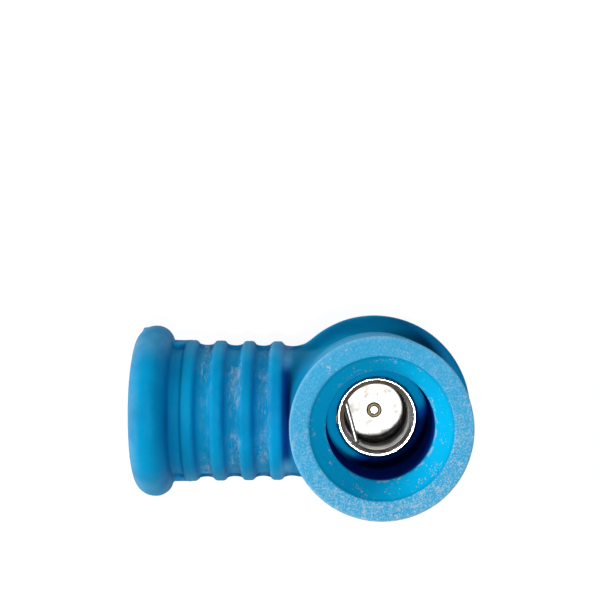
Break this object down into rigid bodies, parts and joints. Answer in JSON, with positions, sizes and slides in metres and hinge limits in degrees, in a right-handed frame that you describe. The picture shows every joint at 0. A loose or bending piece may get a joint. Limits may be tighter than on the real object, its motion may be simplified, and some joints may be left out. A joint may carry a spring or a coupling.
{
  "type": "right-angle spark plug cap",
  "caption": "Right-angle rubber spark plug cap with a ribbed neck for the ignition lead, a metal terminal cup and a snap-in spring wire clip.",
  "frame": {"origin": "centre of the closed boss face, which the part stands on", "axes": "+Z along the plug's axis towards the open end, -X along the ignition lead's axis towards the end of the neck"},
  "size_m": [0.0345, 0.0196, 0.0283],
  "materials": {
    "boot_rubber": "matt moulded rubber with dust and scuffs",
    "nickel_plate": "bright nickel plate",
    "spring_wire": "drawn spring wire",
    "brass_strip": "dull brass strip",
    "plated_steel": "zinc-plated steel"
  },
  "bodies": {
    "cap": {"boot": "boot_rubber", "socket_cup": "nickel_plate", "terminal_rivet": "nickel_plate", "terminal_bracket": "brass_strip", "lead_screw": "plated_steel"},
    "clip": {"retaining_clip": "spring_wire"}
  },
  "joints": [
    {"name": "clip_spread", "type": "slide", "parent": "cap", "child": "clip", "axis": [-0.965, -0.2622, 0], "range_m": [0, 0.0009], "stiffness_N_per_m": 6000, "deforming": ["retaining_clip"]}
  ]
}
